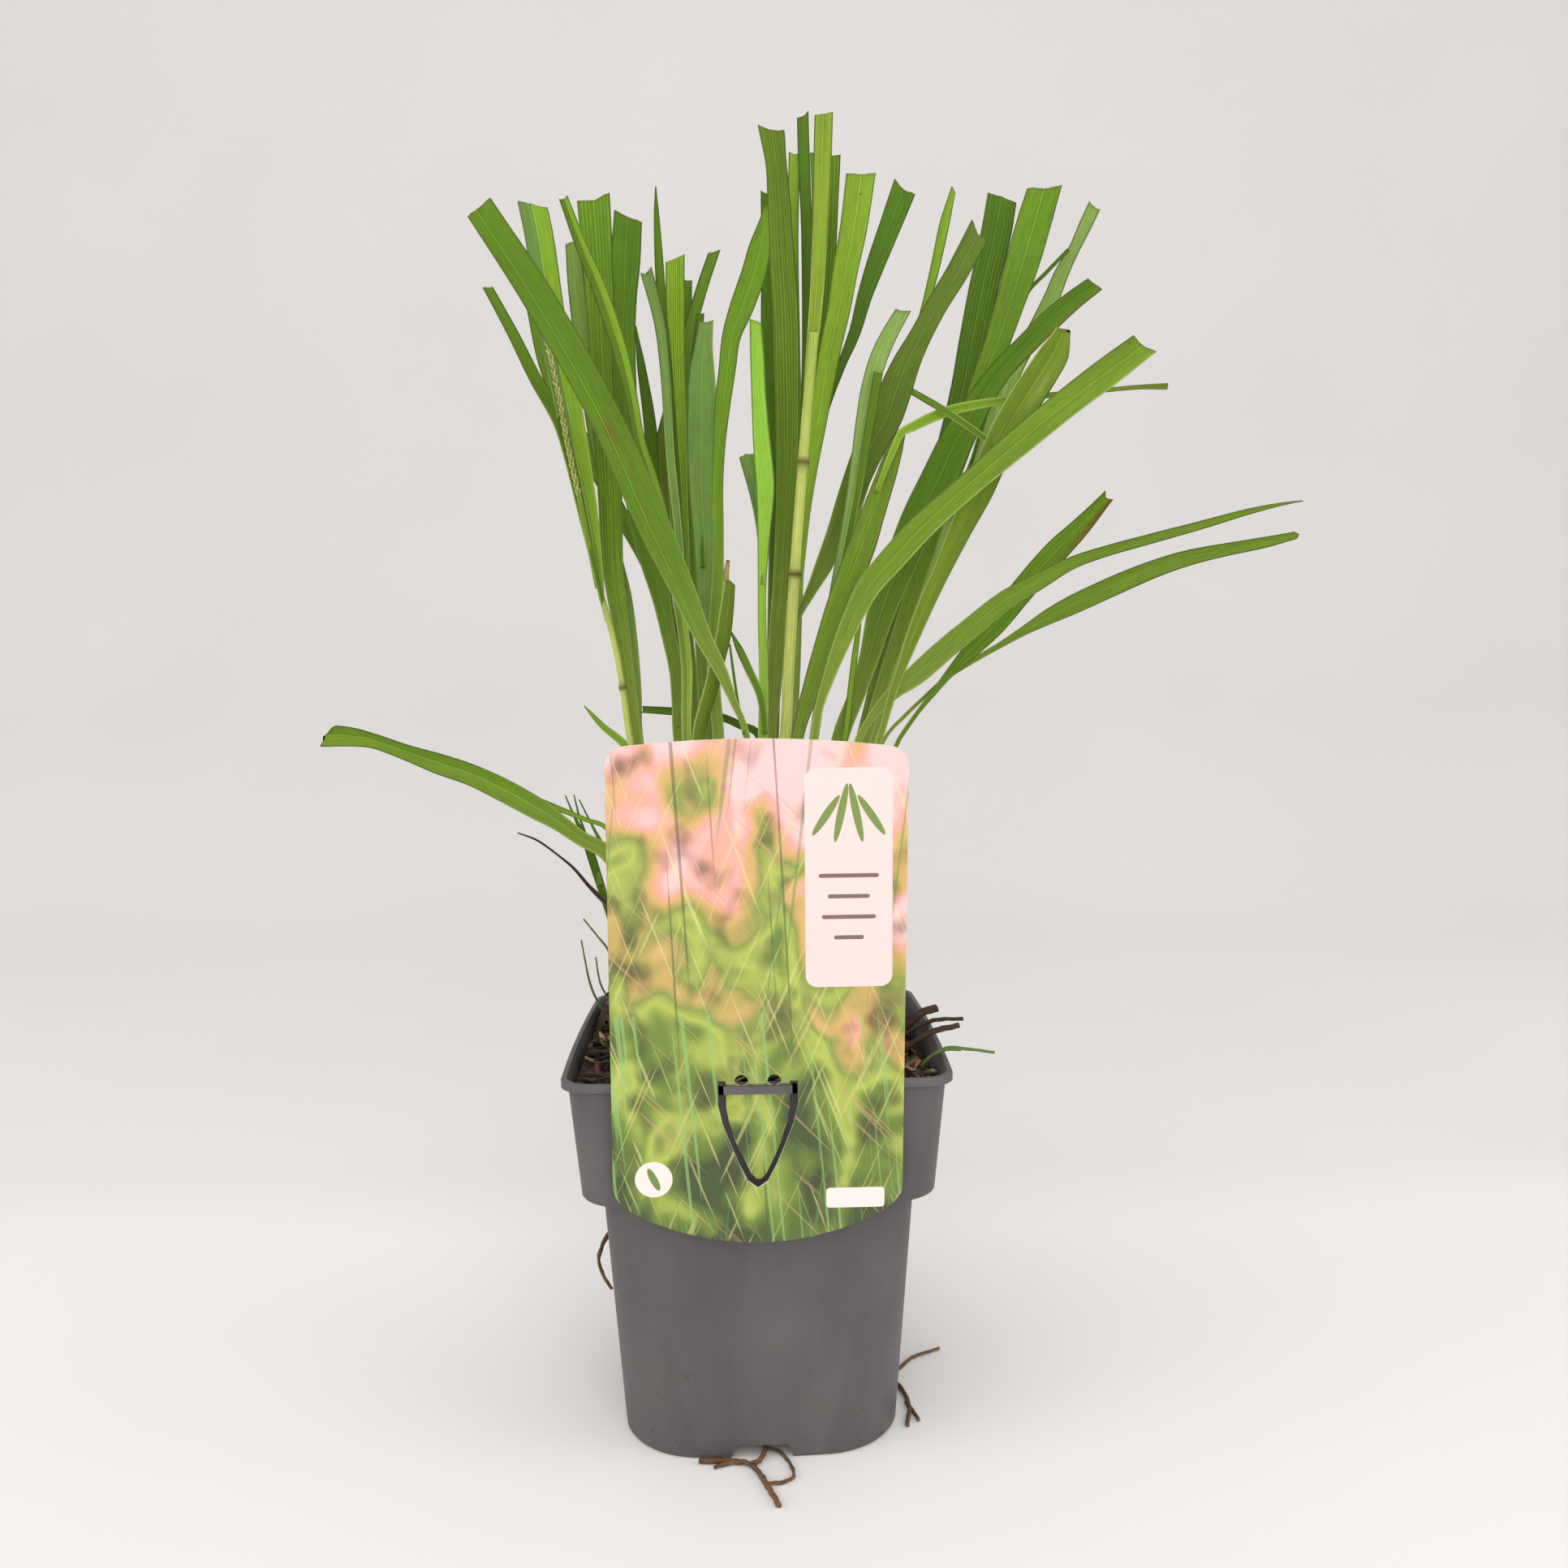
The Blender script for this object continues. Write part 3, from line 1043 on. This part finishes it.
def make_pot(material):
    pot = rings_solid("pot_shell", [square_ring(*level) for level in POT_OUTSIDE])
    cavity = rings_solid("cavity", [square_ring(*level) for level in reversed(POT_INSIDE)])
    for turn in QUARTERS:
        cut_away(cavity, channel(turn, WALL))
    cut_away(pot, cavity)
    for turn in QUARTERS:
        cut_away(pot, channel(turn))
        cut_away(pot, drain(turn))
    hole_ends = [Vector((x, *ROOT_HOLE)) for x in (-62, -48)]
    cut_away(pot, rod(hole_ends, Vector((0, 1, 0)), UP, ROOT_HOLE_RADIUS, 24))
    tall = LIP_HEIGHT - 0.4
    middle = POT_HEIGHT - LIP_HEIGHT / 2
    bar = block(BAR_WIDTH + 2 * EAR_WIDTH, BAR_THICKNESS, tall, 0, BAR_FRONT + BAR_THICKNESS / 2, middle)
    cut_away(pot, bar, "UNION")
    for side in (-1, 1):
        x = side * (BAR_WIDTH + EAR_WIDTH) / 2
        cut_away(pot, block(EAR_WIDTH, EAR_DEPTH, tall, x, BAR_FRONT + EAR_DEPTH / 2, middle), "UNION")
    pot.data.shade_smooth()
    pot.data.set_sharp_from_angle(angle=math.radians(32))
    bevel = pot.modifiers.new("rounded", "BEVEL")
    bevel.width = EDGE_RADIUS * MM
    bevel.segments = 2
    bevel.limit_method = "ANGLE"
    bevel.angle_limit = math.radians(40)
    bevel.harden_normals = True
    shown(pot, material, ["pot"])


# Soil with bark: ranges are the least and the most that a chip may have
BARK = [
    paint(54, 38, 27),
    paint(72, 52, 37),
    paint(44, 31, 23),
    paint(94, 68, 47),
    paint(132, 102, 72),
    paint(34, 25, 20),
]
STICK_TONE = paint(62, 45, 34)
CHIP_COUNT = 1500
CHIP_REACH = 63
CHIP_LIMIT = 63.5
CHIP_LENGTH = (5, 15)
CHIP_WIDTH = (0.8, 2.4)
CHIP_THICKNESS = (0.3, 0.8)
CHIP_RISE = (0, 2.8)
CHIP_SHADE = (0.8, 1.8)
CHIP_STEPS = 5
PEAT_BELOW = 1.4
PEAT_RINGS = 26
PEAT_LEVELS = [
    (8, 50, 27, 1),
    (STEP_HEIGHT + 1, 54.4, 12, 1),
    (STEP_HEIGHT + 1.8, 61.4, 13, 1.5),
]
PEAT_EDGE = (0, 64, 10.3, 1.5)
STICKS = [
    ([(50, 6, 134), (58, 9, 141), (66, 12, 146.6), (73, 15, 148.4)], 2),
    ([(50, 0, 134), (60, 2, 142), (70, 3, 146.2), (82, 3.5, 146.6)], 1),
    ([(48, -16, 132), (58, -15, 141), (68, -14, 146.4), (78, -12, 148)], 1.4),
]


def mound(x, y, middle_x, middle_y, reach_x, reach_y):
    """One at its middle, falling off to nothing."""
    return math.exp(-((x - middle_x) / reach_x) ** 2 - ((y - middle_y) / reach_y) ** 2)


def soil_top(x, y):
    """The soil slopes down to the right, with a heap at its left back and a hollow at its right back."""
    return SOIL_LEVEL - 0.04 * x + 7 * mound(x, y, -54, 44, 15, 18) - 2.5 * mound(x, y, 56, 40, 20, 30)


def make_peat(material):
    """The soil under the bark, from the pot's foot up, with a rough top."""
    rings = [square_ring(*level) for level in PEAT_LEVELS]
    for k in range(PEAT_RINGS):
        share = 1 - k / PEAT_RINGS
        ring = []
        for point in square_ring(*PEAT_EDGE):
            x, y = point.x * share, point.y * share
            rough = 1.6 * noise.noise(Vector((x / 5, y / 5, 0)))
            rough += 0.8 * noise.noise(Vector((x, y, 3)) / 1.8)
            ring.append(Vector((x, y, soil_top(x, y) - PEAT_BELOW + rough * (1 if k else 0.3))))
        rings.append(ring)
    peat = rings_solid("peat", rings)
    peat.data.shade_smooth()
    shown(peat, material, ["soil"])


def add_chip(shape, draw, x, y):
    """A shred of bark: a flat splinter, bent once, pinched and turned at random."""
    length = draw.uniform(*CHIP_LENGTH)
    width = draw.uniform(*CHIP_WIDTH)
    thick = draw.uniform(*CHIP_THICKNESS)
    heading = draw.uniform(0, 2 * math.pi)
    pitch = draw.gauss(0, 0.3)
    flat = math.cos(pitch)
    along = Vector((math.cos(heading) * flat, math.sin(heading) * flat, math.sin(pitch)))
    across = along.cross(UP).normalized()
    across = Matrix.Rotation(draw.uniform(-0.7, 0.7), 3, along) @ across
    face = across.cross(along)
    centre = Vector((x, y, soil_top(x, y) + draw.uniform(*CHIP_RISE)))
    ends = [centre + along * (side * length / 2) for side in (-1, 1)]
    if any(max(abs(end.x), abs(end.y)) > CHIP_LIMIT for end in ends):
        return
    tone = draw.choice(BARK)
    tone = tuple(c * draw.uniform(*CHIP_SHADE) for c in tone)
    bend = draw.uniform(-0.12, 0.12) * length
    rings = []
    for k in range(CHIP_STEPS + 1):
        s = k / CHIP_STEPS
        middle = centre + along * (length * (s - 0.5)) + face * (bend * (1 - (2 * s - 1) ** 2))
        pinch = draw.uniform(0.75, 1.15) * (0.35 + 0.65 * math.sin(math.pi * (0.12 + 0.76 * s)))
        a, b = across * (width * pinch), face * (thick * pinch)
        points = [middle - a, middle - b * 0.9 + a * 0.1, middle + a, middle + b + a * 0.2]
        tints = [tuple(c * draw.uniform(0.85, 1.15) for c in tone) for _ in points]
        rings.append((points, tints, [(0, s), (0.3, s), (0.6, s), (1, s)]))
    shape.add(rings)


def make_bark(material):
    draw = random.Random(11)
    shape = Shape()
    for _ in range(CHIP_COUNT):
        x = draw.uniform(-CHIP_REACH, CHIP_REACH)
        y = draw.uniform(-CHIP_REACH, CHIP_REACH)
        add_chip(shape, draw, x, y)
    for points, radius in STICKS:
        add_tube(shape, thin_spine(points), lambda s: radius * (1 - 0.25 * s),
                 lambda s: STICK_TONE, 10, 40, 0.35, radius)
    shape.piece("bark", material)


# Thin weeds and roots: each strand has its points and the radius at both ends
WEEDS = {
    "seedling_upright": [
        ([(-62, 41, 132), (-62.5, 41.5, 140), (-65.5, 42, 145.6), (-68.9, 42, 153.7),
          (-72.5, 42, 173.4)], 0.7, 0.3),
    ],
    "seedling_leafy": [
        ([(-59, 48, 132), (-59.5, 48, 141), (-62, 48, 146), (-65.5, 48, 153.3),
          (-67.3, 48, 164.8)], 0.7, 0.3),
        ([(-59, 48, 132), (-59.5, 48, 141), (-61.5, 47, 150), (-60.5, 46, 161), (-61.5, 46, 167.6),
          (-66.5, 46, 174.6), (-71.8, 46, 181.6)], 0.8, 0.35),
    ],
    "weed_sprig": [
        ([(58, -36, 128), (62, -37, 141), (69, -38, 146.4), (77, -38, 146), (87, -38, 144.5)], 0.9, 0.5),
        ([(58, -36, 128), (61, -38, 141), (68, -41, 146.6), (74, -42, 147)], 0.9, 0.5),
    ],
}
ROOTS = {
    "root_front": [
        ([(-23, -54.5, 1.3), (-10.2, -55.6, 1.5), (-4.4, -58, 1.5), (1.2, -70.2, 1.2),
          (5.2, -82.1, 1)], 0.9, 1.0),
        ([(-17.4, -58.6, 1), (-15.4, -57.4, 1.1), (-10.2, -55.6, 1.4)], 0.6, 0.7),
        ([(0, -38, 6.2), (0.5, -39, 3), (1, -48, 2), (-1, -55, 1.4), (-4.4, -58, 1.5)], 0.8, 0.9),
        ([(1, -48, 1.8), (6.1, -50, 1.2), (10.8, -64.8, 1), (7, -68.5, 1), (1.3, -69.2, 1.2)], 0.6, 0.6),
    ],
    "root_side_loop": [
        ([(-54.4, 12, 62), (-57, 12, 61.6), (-62, 11, 57), (-64.6, 10, 49), (-62.5, 9, 42),
          (-59.5, 9, 37)], 0.9, 0.6),
    ],
    "root_right": [
        ([(38, 0, 6.2), (39, 0.5, 3), (50, 2, 1.6), (56, 8, 1), (63, 17, 1), (75, 24, 1)], 0.8, 0.6),
        ([(50, 2, 1.6), (55, -6, 1.1), (57, -20, 1), (54.7, -34.3, 1)], 0.8, 0.7),
        ([(56, -18, 1.1), (58.5, -26, 1), (59.5, -31, 1)], 0.7, 0.6),
    ],
}


def make_thin(items, material, low_tone, high_tone, wobble):
    """One piece for each bundle of roots or weed, of tubes along its strands."""
    for seed, (name, strands) in enumerate(items.items()):
        shape = Shape()
        for index, (points, first, last) in enumerate(strands):
            add_tube(shape, thin_spine(points), lambda s: lerp(first, last, s),
                     lambda s: blend(low_tone, high_tone, s), 10, 70, wobble, seed * 5 + index)
        shape.piece(name + "_strands", material, [name])


# Label: the printed sheet keeps the solid's form and gets a print of its own. Panels are (x, z, half width,
# half height, corner) in millimetres.
LABEL_FOOT = 88
LABEL_TOP = 263
STEMS_TOP = 170
SIDE_PANEL = (31, 216, 14.5, 37, 4)
DISC = (-36, 112, 6.4, 6.4, 6.4)
BOX = (33, 104, 10, 3.6, 1.2)
PANEL_TONE = paint(226, 200, 196)
MARK_TONE = paint(232, 214, 208)
SHEET_TONE = paint(236, 234, 230)
MEADOW = [
    (0.0, paint(60, 76, 38)),
    (0.22, paint(104, 126, 46)),
    (0.4, paint(166, 178, 78)),
    (0.56, paint(128, 140, 62)),
    (0.72, paint(196, 160, 92)),
    (0.86, paint(224, 158, 146)),
    (1.0, paint(238, 186, 184)),
]
AWNS = [(20, paint(214, 208, 140)), (-24, paint(204, 196, 120)), (44, paint(190, 150, 110))]
STEMS = [(3, 0.6, paint(64, 80, 42)), (-7, 0.5, paint(88, 128, 66))]


def label_material():
    """White plastic. Its front has a soft print of meadow colours and stems, and panels with leaves."""
    material, node = new_material("label")
    place = node("TexCoord").outputs["Object"]
    x, z = axes(node, place)["X"], axes(node, place)["Z"]
    is_front = number(node, "LESS_THAN", axes(node, node("NewGeometry").outputs["Normal"])["Y"], -0.5)

    def beyond(value, middle, reach):
        over = number(node, "SUBTRACT", apart(node, value, middle * MM), reach * MM)
        return number(node, "MAXIMUM", over, 0)

    def squares(a, b):
        return plus(node, times(node, a, a), times(node, b, b))

    def panel(middle_x, middle_z, half_x, half_z, corner):
        """One inside a rectangle with round corners."""
        dx = beyond(x, middle_x, half_x - corner)
        dz = beyond(z, middle_z, half_z - corner)
        return number(node, "LESS_THAN", squares(dx, dz), (corner * MM) ** 2)

    def strokes(angle, fine, long, least, most, strength):
        """Thin straight strokes that lean by an angle: their strength on a stroke, else nothing."""
        turn = {"Vector": place, "Rotation": (0, math.radians(angle), 0)}
        turned = node("Mapping", turn).outputs["Vector"]
        spread = noise_of(node, stretched(node, turned, (fine, 1, long)), 1, 1, 0.4, 0.25)
        return ramp(node, spread, [(least, 0.0), (most, strength)])

    def leaf_motif(middle_x, middle_z, lean, half_long, half_wide):
        """One inside a slim ellipse that leans."""
        centred = node("VectorMath", {0: place, 1: (middle_x * MM, 0, middle_z * MM)}, operation="SUBTRACT")
        turn = {"Vector": centred.outputs[0], "Rotation": (0, math.radians(lean), 0)}
        local = axes(node, node("Mapping", turn).outputs["Vector"])
        along = times(node, local["Z"], 1 / (half_long * MM))
        over = times(node, local["X"], 1 / (half_wide * MM))
        return number(node, "LESS_THAN", squares(along, over), 1)

    reach = {"Value": z, "From Min": LABEL_FOOT * MM, "From Max": LABEL_TOP * MM}
    share = node("MapRange", reach).outputs["Result"]
    soft = noise_of(node, stretched(node, place, (44, 1, 34)), 1, 2, 0.45, 0.4)
    drift = times(node, number(node, "SUBTRACT", soft, 0.5), 1.9)
    warmth = plus(node, plus(node, share, drift), times(node, x, 2.2))
    colour = ramp(node, warmth, MEADOW)
    dim = noise_of(node, stretched(node, place, (60, 1, 52)), 1, 2, 0.5)
    colour = mixed(node, ramp(node, dim, [(0.54, 0.0), (0.68, 0.7)]), colour, paint(58, 50, 34))
    for angle, tone in AWNS:
        colour = mixed(node, strokes(angle, 760, 22, 0.64, 0.7, 0.42), colour, tone)
    for angle, strength, tone in STEMS:
        colour = mixed(node, strokes(angle, 420, 6, 0.68, 0.72, strength), colour, tone)
    is_low = number(node, "LESS_THAN", z, STEMS_TOP * MM)
    low_stems = times(node, strokes(5, 520, 9, 0.6, 0.66, 0.6), is_low)
    colour = mixed(node, low_stems, colour, paint(132, 176, 104))
    colour = mixed(node, panel(*SIDE_PANEL), colour, PANEL_TONE)
    for k, (lean, long) in enumerate(((-34, 8), (-12, 10), (12, 10), (34, 8))):
        motif = leaf_motif(23.5 + 5 * k, 234 + 0.4 * long, lean, long, 1.3)
        colour = mixed(node, motif, colour, paint(112, 132, 58))
    for k, half_long in enumerate((10, 7, 9, 5)):
        line = panel(SIDE_PANEL[0], 217 - 7 * k, half_long, 0.7, 0.7)
        colour = mixed(node, line, colour, paint(118, 92, 86))
    colour = mixed(node, panel(*DISC), colour, MARK_TONE)
    colour = mixed(node, leaf_motif(*DISC[:2], 25, 4.4, 1.3), colour, paint(104, 128, 60))
    colour = mixed(node, panel(*BOX), colour, MARK_TONE)
    colour = mixed(node, is_front, SHEET_TONE, colour)
    fine = noise_of(node, place, 700, 2)
    rough = ramp(node, fine, [(0.3, 0.28), (0.7, 0.36)])
    return finished(node, material, colour, rough, fine, 0.00005, 0, 0.5, 0.15)


def dress_label(material):
    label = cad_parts["label"]
    label.data.materials.clear()
    label.data.materials.append(material)


# Stage, in metres: floor and backdrop in one sheet, soft light, and the photograph's camera
FLOOR_HALF = 4
FLOOR_FRONT = -3
BEND_START = 0.9
BEND_RADIUS = 0.7
BEND_STEPS = 12
BACKDROP_TOP = 3.5
SHADE_LENGTH = 3

# Area lights: (name, place, what it shines at, size, power)
LIGHTS = [
    ("key", (-0.35, -1.5, 2.0), (0, 0, 0.2), 2.4, 14),
    ("front", (0.2, -1.9, 0.6), (0, 0, 0.3), 1.8, 16),
    ("fill_left", (-1.7, -0.5, 0.9), (0, 0, 0.15), 1.4, 8),
    ("fill_right", (1.7, -0.5, 0.9), (0, 0, 0.15), 1.4, 8),
]
SKY = (1.0, 0.99, 0.985, 1)
SKY_STRENGTH = 0.84
SENSOR_WIDTH = 36
CLIP_START = 0.01


def make_stage():
    """The sheet runs back from the front, bends up and ends as the backdrop; its shade changes along it."""
    material, node = new_material("floor")
    place = node("TexCoord").outputs["Object"]
    cloud = noise_of(node, place, 3, 2)
    colour = ramp(node, cloud, [(0.3, paint(227, 224, 222)), (0.7, paint(230, 227, 225))])
    parts = axes(node, place)
    away = times(node, plus(node, parts["Y"], parts["Z"]), 1 / SHADE_LENGTH)
    shade = ramp(node, away, [(0.05, 1.0), (0.08, 0.925), (0.3, 0.93), (0.55, 0.82), (1.0, 0.85)])
    colour = mixed(node, 1, colour, shade, "MULTIPLY")
    finished(node, material, colour, 0.9, cloud, 0.0001, 0, 0.1, 0.05)
    profile = [(FLOOR_FRONT, 0), (BEND_START, 0)]
    for k in range(1, BEND_STEPS + 1):
        angle = k / BEND_STEPS * math.pi / 2
        profile.append((BEND_START + BEND_RADIUS * math.sin(angle), BEND_RADIUS * (1 - math.cos(angle))))
    profile.append((BEND_START + BEND_RADIUS, BACKDROP_TOP))
    vertices = [(x, y, z) for y, z in profile for x in (-FLOOR_HALF, FLOOR_HALF)]
    faces = [(2 * k, 2 * k + 1, 2 * k + 3, 2 * k + 2) for k in range(len(profile) - 1)]
    mesh = bpy.data.meshes.new("floor")
    mesh.from_pydata(vertices, [], faces)
    mesh.shade_smooth()
    floor = bpy.data.objects.new("floor", mesh)
    bpy.context.scene.collection.objects.link(floor)
    mesh.materials.append(material)


def area_light(name, place, target, size, power):
    light = bpy.data.lights.new(name, "AREA")
    light.shape = "DISK"
    light.size = size
    light.energy = power
    made = bpy.data.objects.new(name, light)
    made.location = place
    made.rotation_euler = (Vector(target) - Vector(place)).to_track_quat("-Z", "Y").to_euler()
    bpy.context.scene.collection.objects.link(made)


def make_light():
    world = bpy.data.worlds.new("studio")
    bpy.context.scene.world = world
    world.use_nodes = True
    background = world.node_tree.nodes["Background"]
    background.inputs["Color"].default_value = SKY
    background.inputs["Strength"].default_value = SKY_STRENGTH
    for light in LIGHTS:
        area_light(*light)
    bpy.context.scene.view_settings.view_transform = "Standard"


def make_camera():
    lens = bpy.data.cameras.new("photograph")
    lens.sensor_width = SENSOR_WIDTH
    lens.lens = FOCAL / IMAGE * SENSOR_WIDTH
    lens.clip_start = CLIP_START
    camera = bpy.data.objects.new("photograph", lens)
    turned = Matrix((SIDEWAYS, UPRIGHT, -AHEAD)).transposed()
    camera.matrix_world = Matrix.Translation(PLACE * MM) @ turned.to_4x4()
    bpy.context.scene.collection.objects.link(camera)
    bpy.context.scene.camera = camera


make_camera()
make_stage()
make_light()
make_pot(pot_material())
make_peat(soil_material())
make_bark(stem_material("bark", (0.45, 0.42, 0.4), (1.5, 1.45, 1.4)))
root = stem_material("root", (0.5, 0.48, 0.46), (1.45, 1.4, 1.3))
make_thin(ROOTS, root, paint(84, 60, 42), paint(112, 84, 58), 0.5)
weed = stem_material("weed", (0.7, 0.72, 0.7), (1.25, 1.25, 1.2), 0.6)
make_thin(WEEDS, weed, paint(96, 84, 58), paint(84, 118, 50), 0.2)
make_tillers(leaf_material())
dress_label(label_material())
